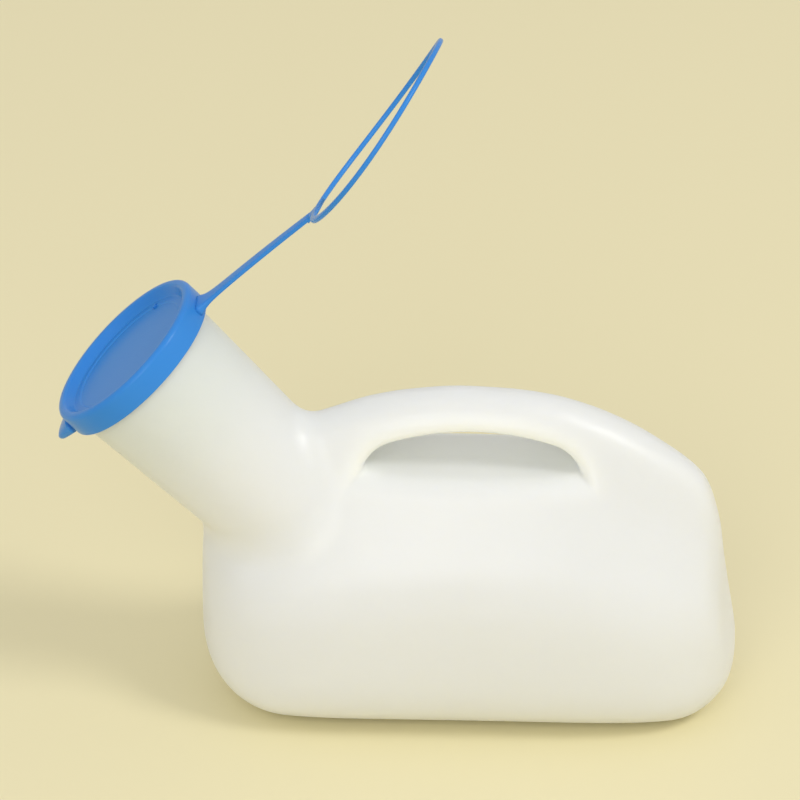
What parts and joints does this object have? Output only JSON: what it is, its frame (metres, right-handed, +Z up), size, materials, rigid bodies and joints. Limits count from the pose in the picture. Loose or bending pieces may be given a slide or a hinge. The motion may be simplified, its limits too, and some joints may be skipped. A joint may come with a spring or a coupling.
{
  "type": "urine bottle",
  "caption": "Hand-held ward urine bottle: translucent white blow-moulded bottle with slanted round neck and built-in handle, blue push-on lid with tether strap and loop.",
  "frame": {"origin": "on the table, under the middle of the bottle's body, at the flat base", "axes": "+Z up, +X from the neck towards the closed end, Y across the bottle; the neck leans towards -X, 47 degrees above horizontal"},
  "size_m": [0.2554, 0.0919, 0.2721],
  "materials": {
    "hdpe_natural": "satin, translucent",
    "pe_blue": "satin"
  },
  "bodies": {
    "bottle": {"bottle": "hdpe_natural"},
    "lid": {"lid": "pe_blue"},
    "strap": {"strap": "pe_blue"},
    "loop": {"loop": "pe_blue"}
  },
  "joints": [
    {"name": "lid_lift", "type": "slide", "parent": "bottle", "child": "lid", "axis": [-0.6858, 0, 0.7278], "range_m": [0, 0.07]},
    {"name": "strap_flex", "type": "hinge", "parent": "lid", "child": "strap", "pos_m": [-0.09866, 0, 0.16564], "axis": [0, 1, 0], "range_deg": [-60, 40], "stiffness_Nm_per_rad": 0.05},
    {"name": "loop_flex", "type": "hinge", "parent": "strap", "child": "loop", "pos_m": [-0.05859, 0, 0.20273], "axis": [0, 1, 0], "range_deg": [-50, 35], "stiffness_Nm_per_rad": 0.02}
  ]
}
